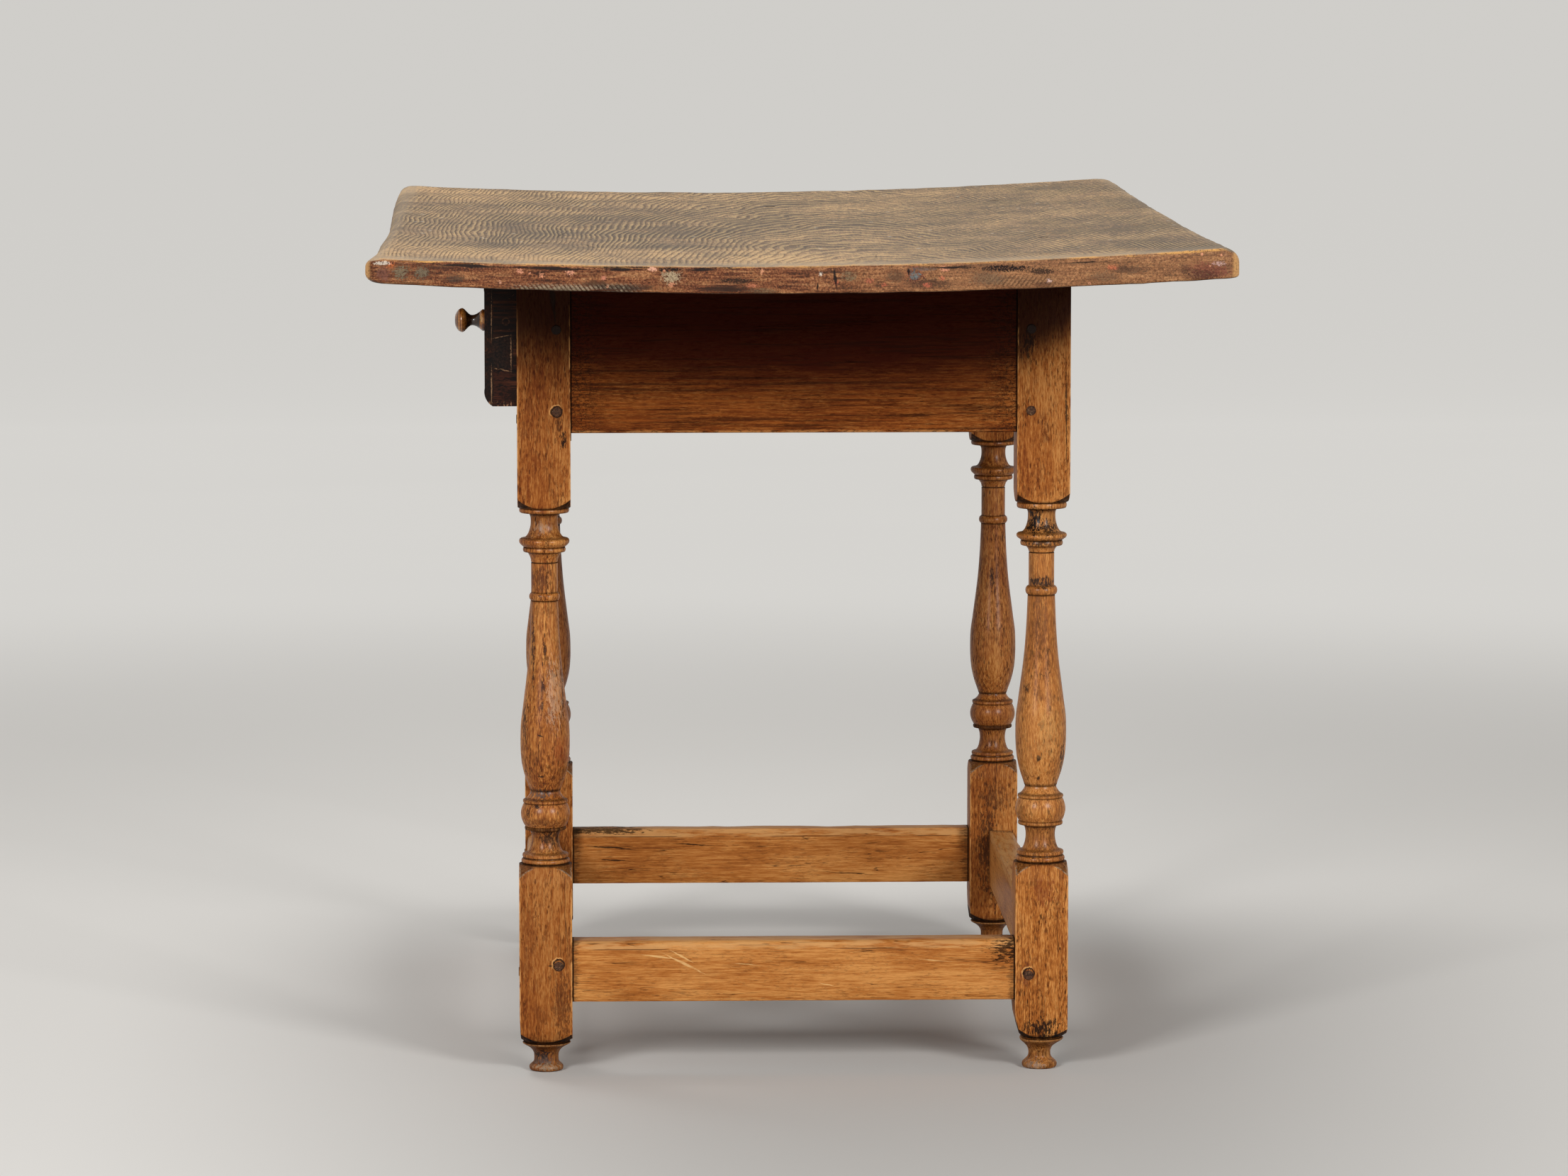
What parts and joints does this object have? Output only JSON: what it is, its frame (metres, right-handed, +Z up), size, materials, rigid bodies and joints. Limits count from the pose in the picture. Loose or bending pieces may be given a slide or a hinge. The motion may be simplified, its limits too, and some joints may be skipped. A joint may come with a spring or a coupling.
{
  "type": "tavern table",
  "caption": "Tavern table with a long cupped plank top, vase-turned legs, pegged aprons and box stretchers, and a dovetailed side drawer with a turned knob.",
  "frame": {"origin": "on the floor, under the middle of the top board", "axes": "+X across the table away from the drawer, +Y along the long top, +Z up"},
  "size_m": [0.7301, 1.275, 0.7404],
  "materials": {
    "top_wood": "old scrubbed softwood board, dry, nearly matt, with raised grain",
    "leg_wood": "honey-brown hardwood, old varnish, worn satin",
    "apron_wood": "red-brown hardwood, old varnish, satin",
    "stretcher_wood": "honey-brown hardwood, worn smooth on the upper edges",
    "peg_wood": "dark end grain",
    "pin_wood": "dark end grain, scrubbed",
    "dark_wood": "nearly black old finish with worn brown edges",
    "drawer_side_wood": "dark brown, dry",
    "inner_wood": "bare softwood, browned with age",
    "knob_wood": "amber turned hardwood, glossy with handling",
    "iron": "hand-made iron nails, dark and lightly rusted"
  },
  "bodies": {
    "frame": {"top_board": "top_wood", "leg_front_left": "leg_wood", "leg_front_right": "leg_wood", "leg_back_left": "leg_wood", "leg_back_right": "leg_wood", "apron_front": "apron_wood", "apron_back": "apron_wood", "apron_right": "apron_wood", "drawer_rail": "dark_wood", "stretcher_front": "stretcher_wood", "stretcher_right": "stretcher_wood", "stretcher_back": "stretcher_wood", "stretcher_left": "stretcher_wood", "pegs_front": "peg_wood", "pegs_right": "peg_wood", "pegs_back": "peg_wood", "pegs_left": "peg_wood", "top_pins": "pin_wood", "drawer_runner_front": "inner_wood", "drawer_guide_front": "inner_wood", "drawer_runner_back": "inner_wood", "drawer_guide_back": "inner_wood", "runner_nails": "iron"},
    "drawer": {"drawer_front": "dark_wood", "drawer_side_front": "drawer_side_wood", "drawer_side_back": "drawer_side_wood", "drawer_back": "inner_wood", "drawer_bottom": "inner_wood", "drawer_knob": "knob_wood", "drawer_nails": "iron"}
  },
  "joints": [
    {"name": "drawer_slide", "type": "slide", "parent": "frame", "child": "drawer", "axis": [-1, 0, 0], "range_m": [-0.0284, 0.25]}
  ]
}
